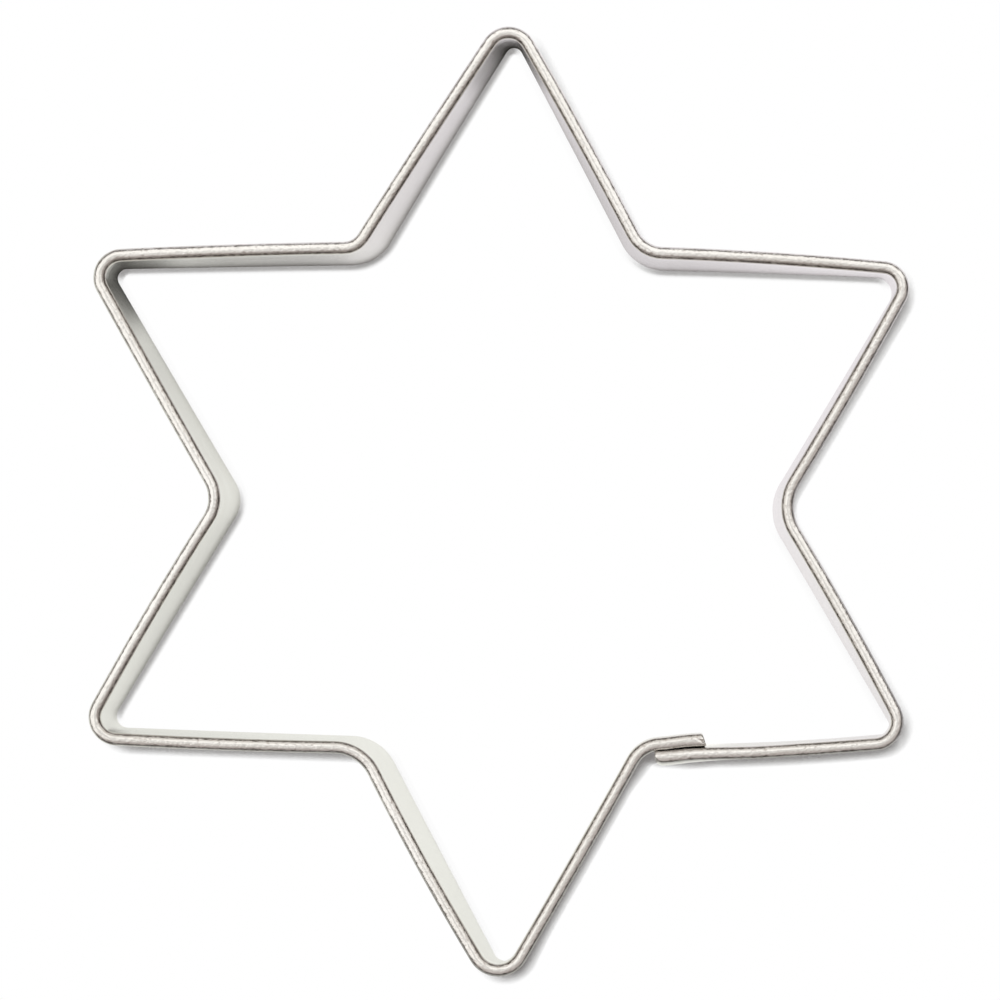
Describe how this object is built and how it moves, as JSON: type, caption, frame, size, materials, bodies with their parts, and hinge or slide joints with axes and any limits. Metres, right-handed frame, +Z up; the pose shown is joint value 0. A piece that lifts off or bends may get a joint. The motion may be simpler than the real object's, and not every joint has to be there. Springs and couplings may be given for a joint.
{
  "type": "star cookie cutter",
  "caption": "Open star-shaped cookie cutter bent from a hemmed sheet-metal strip, with a thin cutting edge below and a rounded rim above.",
  "frame": {"origin": "under the middle of the cutter's box, on the plane of the cutting edge", "axes": "+Z up from the cutting edge to the rim, +Y from the bottom point to the top point, +X to the right, with the lap at the lower right inner corner"},
  "size_m": [0.0604, 0.071, 0.02],
  "materials": {
    "strip": "bright tinned sheet with fine rolling lines",
    "weld": "matte, slightly dished electrode mark"
  },
  "bodies": {
    "root": {"cutter_strip": "strip", "spot_weld_lower": "weld", "spot_weld_middle": "weld", "spot_weld_upper": "weld"}
  },
  "joints": []
}
